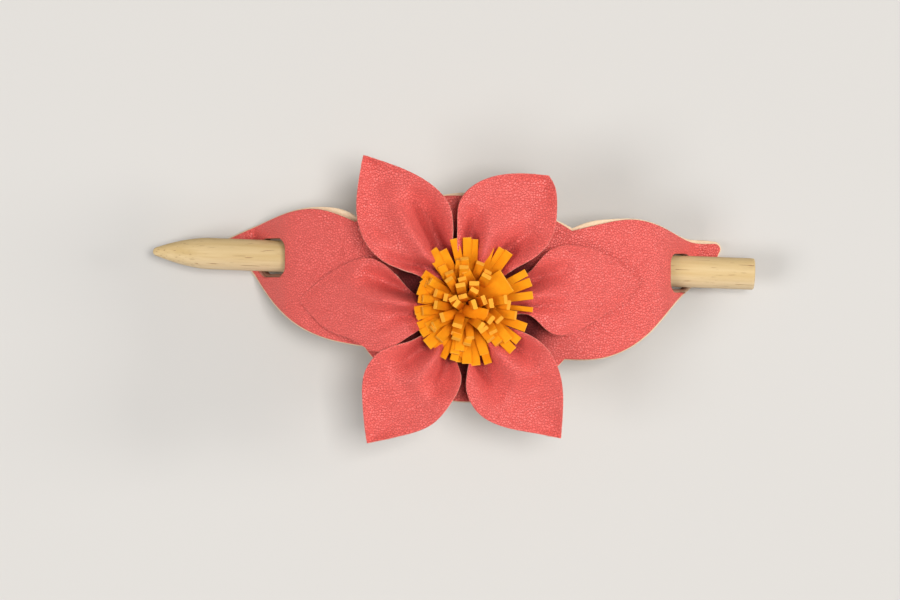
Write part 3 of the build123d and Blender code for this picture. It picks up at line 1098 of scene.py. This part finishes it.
def fringe_tree():
    """Geometry nodes: bend one strip of suede out from every root, and roll the band under them."""
    tree = bpy.data.node_groups.new("rolled_fringe", "GeometryNodeTree")
    tree.interface.new_socket("Geometry", in_out="INPUT", socket_type="NodeSocketGeometry")
    for name in ("Thickness", "Band Height", "Band Start", "Band End", "Turns"):
        tree.interface.new_socket(name, in_out="INPUT", socket_type="NodeSocketFloat")
    tree.interface.new_socket("Centre", in_out="INPUT", socket_type="NodeSocketVector")
    tree.interface.new_socket("Suede", in_out="INPUT", socket_type="NodeSocketMaterial")
    tree.interface.new_socket("Geometry", in_out="OUTPUT", socket_type="NodeSocketGeometry")
    graph = Graph(tree)
    given = graph.node("NodeGroupInput")

    def read(name):
        made = graph.node("GeometryNodeInputNamedAttribute", {"data_type": "FLOAT"}, {"Name": name})
        return made["Attribute"]

    def vector(x, y, z):
        return graph.node("ShaderNodeCombineXYZ", {}, {"X": x, "Y": y, "Z": z})["Vector"]

    # One upright strip, a unit wide, deep and long, is set on every root.
    spine = graph.node("GeometryNodeCurvePrimitiveLine", {}, {"Start": (0, 0, 0), "End": (0, 0, 1)})["Curve"]
    spine = graph.node("GeometryNodeResampleCurve", {"mode": "COUNT"}, {"Curve": spine, "Count": 9})["Curve"]
    unit_square = {"Width": 1.0, "Height": 1.0}
    square = graph.node("GeometryNodeCurvePrimitiveQuadrilateral", {}, unit_square)["Curve"]
    corners = {"Curve": square, "Count": 2, "Radius": 0.12}
    section = graph.node("GeometryNodeFilletCurve", {"mode": "POLY"}, corners)["Curve"]
    swept = {"Curve": spine, "Profile Curve": section, "Fill Caps": True}
    strip = graph.node("GeometryNodeCurveToMesh", {}, swept)["Mesh"]
    roots = {"Points": given["Geometry"], "Instance": strip}
    strips = graph.node("GeometryNodeInstanceOnPoints", {}, roots)["Instances"]
    strips = graph.node("GeometryNodeRealizeInstances", {}, {"Geometry": strips})["Geometry"]

    # Each strip is then bent along an arc that starts and ends at its own leans.
    position = graph.node("GeometryNodeInputPosition")["Position"]
    unit = graph.node("ShaderNodeSeparateXYZ", {}, {"Vector": position})
    share = unit["Z"]
    start = read("lean_start")
    turn = read("lean_end") - start
    lean = start + turn * share
    length = read("length")
    outward = length * (start.math("COSINE") - lean.math("COSINE")) / turn
    upward = length * (lean.math("SINE") - start.math("SINE")) / turn
    depth = unit["Y"] * given["Thickness"]
    facing = read("angle")
    outward = outward + depth * lean.math("COSINE")
    upward = upward - depth * lean.math("SINE") + given["Band Height"]
    across = unit["X"] * read("width")
    x = read("x") + outward * facing.math("COSINE") + across * facing.math("SINE")
    y = read("y") + outward * facing.math("SINE") - across * facing.math("COSINE")
    kept = {"Geometry": strips, "Name": "tip", "Value": share}
    store = {"data_type": "FLOAT", "domain": "POINT"}
    strips = graph.node("GeometryNodeStoreNamedAttribute", store, kept)["Geometry"]
    moved = {"Geometry": strips, "Position": vector(x, y, upward)}
    strips = graph.node("GeometryNodeSetPosition", {}, moved)["Geometry"]

    # The band under them is a wall along a spiral.
    turns = {
        "Resolution": 40,
        "Rotations": given["Turns"],
        "Start Radius": given["Band Start"],
        "End Radius": given["Band End"],
        "Height": 0.0,
    }
    spiral = graph.node("GeometryNodeCurveSpiral", {}, turns)["Curve"]
    upright = {"Width": given["Thickness"], "Height": given["Band Height"] + 0.4}
    wall = graph.node("GeometryNodeCurvePrimitiveQuadrilateral", {}, upright)["Curve"]
    swept = {"Curve": spiral, "Profile Curve": wall, "Fill Caps": True}
    band = graph.node("GeometryNodeCurveToMesh", {}, swept)["Mesh"]
    centre = graph.node("ShaderNodeSeparateXYZ", {}, {"Vector": given["Centre"]})
    rise = given["Band Height"] / 2 + 0.2
    moved = {"Geometry": band, "Translation": vector(centre["X"], centre["Y"], rise)}
    band = graph.node("GeometryNodeTransform", {}, moved)["Geometry"]

    joined = graph.node("GeometryNodeJoinGeometry")
    for part in (strips, band):
        tree.links.new(part.socket, joined.node.inputs["Geometry"])
    moved = {"Geometry": joined["Geometry"], "Translation": vector(0.0, 0.0, centre["Z"])}
    whole = graph.node("GeometryNodeTransform", {}, moved)["Geometry"]
    whole = graph.node("GeometryNodeRealizeInstances", {}, {"Geometry": whole})["Geometry"]
    dye_and_shade = {"Geometry": whole, "Material": given["Suede"]}
    whole = graph.node("GeometryNodeSetMaterial", {}, dye_and_shade)["Geometry"]
    graph.node("NodeGroupOutput", {}, {"Geometry": whole})
    return tree


def make_fringe():
    """The whole roll of suede, as one plain mesh."""
    roots = finger_roots()
    tree = fringe_tree()
    modifier = roots.modifiers.new("rolled_fringe", "NODES")
    modifier.node_group = tree
    values = {
        "Thickness": BAND_THICKNESS,
        "Band Height": BAND_HEIGHT,
        "Band Start": BAND_START,
        "Band End": OUTER_RADIUS,
        "Turns": (OUTER_RADIUS - BAND_START) / BAND_PITCH,
        "Centre": (*ROLL_MIDDLE, FRINGE_LOW.z),
        "Suede": SUEDE,
    }
    for item in tree.interface.items_tree:
        if item.in_out == "INPUT" and item.name in values:
            modifier[item.identifier] = values[item.name]
    depsgraph = bpy.context.evaluated_depsgraph_get()
    mesh = bpy.data.meshes.new_from_object(roots.evaluated_get(depsgraph), depsgraph=depsgraph)
    bpy.data.objects.remove(roots)
    mesh.name = "fringe"
    for vertex in mesh.vertices:
        vertex.co *= MM
    fringe = bpy.data.objects.new("fringe", mesh)
    bpy.context.scene.collection.objects.link(fringe)
    return fringe


fringe = make_fringe()


# -------------------- stick


def make_stick():
    """A turned dowel with a hand-sharpened point at one end and a sawn end at the other."""
    half = STICK_LENGTH / 2
    nose = [
        (-half + TIP_RADIUS * (1 - cos(turn)), TIP_RADIUS * sin(turn))
        for turn in np.linspace(0.15, radians(71), 7)
    ]
    sharpened = (
        nose[-1],
        (-half + 4.0, 1.95),
        (-half + 8.0, 2.85),
        (-half + 10.8, STICK_RADIUS - 0.02),
        (-half + 12.5, STICK_RADIUS),
    )
    taper = smooth_through(sharpened, 0.5)
    body = [(x, STICK_RADIUS) for x in np.arange(-half + 13.0, half - 0.4, 0.8)]
    end = [
        (half - END_ROUND * (1 - sin(turn)), STICK_RADIUS - END_ROUND * (1 - cos(turn)))
        for turn in np.linspace(0, pi / 2, 5)
    ]
    face = [(half, radius) for radius in (2.1, 1.2, 0.4)]
    profile = nose + [tuple(p) for p in taper[1:]] + body + end + face
    around = 64
    points = []
    for x, radius in profile:
        for turn in np.linspace(0, 2 * pi, around, endpoint=False):
            shake = 1 + 0.006 * noise.noise(Vector((x * 0.08, 3 * cos(turn), 3 * sin(turn))))
            whittle = 1 + 0.018 * cos(5 * turn + 0.8) * np.clip((-half + 10 - x) / 6, 0, 1)
            reach = min(radius * shake * whittle, STICK_RADIUS)
            points.append((x, reach * cos(turn), reach * sin(turn)))
    points = [(-half, 0, 0), *points, (half, 0, 0)]
    last = len(points) - 1
    rings = len(profile)
    faces = []
    for i in range(around):
        j = (i + 1) % around
        faces.append((0, 1 + j, 1 + i))
        faces.append((last, last - around + i, last - around + j))
        for ring in range(rings - 1):
            a = 1 + ring * around
            faces.append((a + i, a + j, a + around + j, a + around + i))
    points = np.array(points, float)
    across = np.array([-STICK_ALONG.y, STICK_ALONG.x, 0])
    placed = (
        np.array(STICK_CENTRE)
        + points[:, :1] * np.array(STICK_ALONG)
        + points[:, 1:2] * across
        + points[:, 2:] * np.array([0, 0, 1.0])
    )
    return mesh_piece("dowel", placed, faces, WOOD)


dowel = make_stick()


# -------------------- joining to the frame

for name in PETALS:
    petals[name]

for piece, node, slot_name in (
    (base_backing, "base_backing", "natural_leather"),
    (base_leather, "base_leather", "coral_leather"),
    (fringe, "fringe_roll", "orange_suede"),
    *((petals[name], name, "coral_leather") for name in PETALS),
):
    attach(piece, BARRETTE)
    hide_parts(node)
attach(dowel, STICK)
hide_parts("stick")


# -------------------- floor, lights, camera

CAMERA_PLACE = (-0.706, -0.302, 700.0)
LENS = 137.7
FLOOR_Z = -0.0001
FLOOR_REACH = 3.0
SKY_STRENGTH = 0.25

# Each lamp: its name, its place and its size in metres, its power in watts and its colour.
LAMPS = (
    ("window", (0.3, 0.06, 1.5), 0.5, 15.5, (1.0, 0.985, 0.965)),
    ("low_window", (1.5, 0.16, 0.62), 0.35, 11.0, (1.0, 0.99, 0.97)),
    ("bounce", (-0.8, -0.25, 0.9), 0.5, 6.0, (1.0, 1.0, 1.0)),
)


def make_floor():
    mesh = bpy.data.meshes.new("floor")
    corners = [(x * FLOOR_REACH, y * FLOOR_REACH, FLOOR_Z) for x, y in ((-1, -1), (1, -1), (1, 1), (-1, 1))]
    mesh.from_pydata(corners, [], [(0, 1, 2, 3)])
    mesh.materials.append(pale_floor())
    floor = bpy.data.objects.new("floor", mesh)
    bpy.context.scene.collection.objects.link(floor)


def make_lamp(name, place, size, watts, tint):
    """A soft square lamp that looks at the barrette."""
    lamp = bpy.data.lights.new(name, "AREA")
    lamp.size = size
    lamp.energy = watts
    lamp.color = tint
    holder = bpy.data.objects.new(name, lamp)
    holder.location = place
    holder.rotation_euler = (-Vector(place)).to_track_quat("-Z", "Y").to_euler()
    bpy.context.scene.collection.objects.link(holder)


def make_camera():
    data = bpy.data.cameras.new("camera")
    data.lens = LENS
    data.sensor_width = 36.0
    data.clip_start = 0.01
    data.clip_end = 20.0
    camera = bpy.data.objects.new("camera", data)
    camera.location = [part * MM for part in CAMERA_PLACE]
    bpy.context.scene.collection.objects.link(camera)
    bpy.context.scene.camera = camera


def make_sky():
    world = bpy.data.worlds.new("studio")
    world.use_nodes = True
    background = world.node_tree.nodes["Background"]
    background.inputs["Color"].default_value = (1.0, 1.0, 1.0, 1.0)
    background.inputs["Strength"].default_value = SKY_STRENGTH
    bpy.context.scene.world = world


make_floor()
for lamp_settings in LAMPS:
    make_lamp(*lamp_settings)
make_sky()
make_camera()
bpy.context.scene.view_settings.view_transform = "Standard"
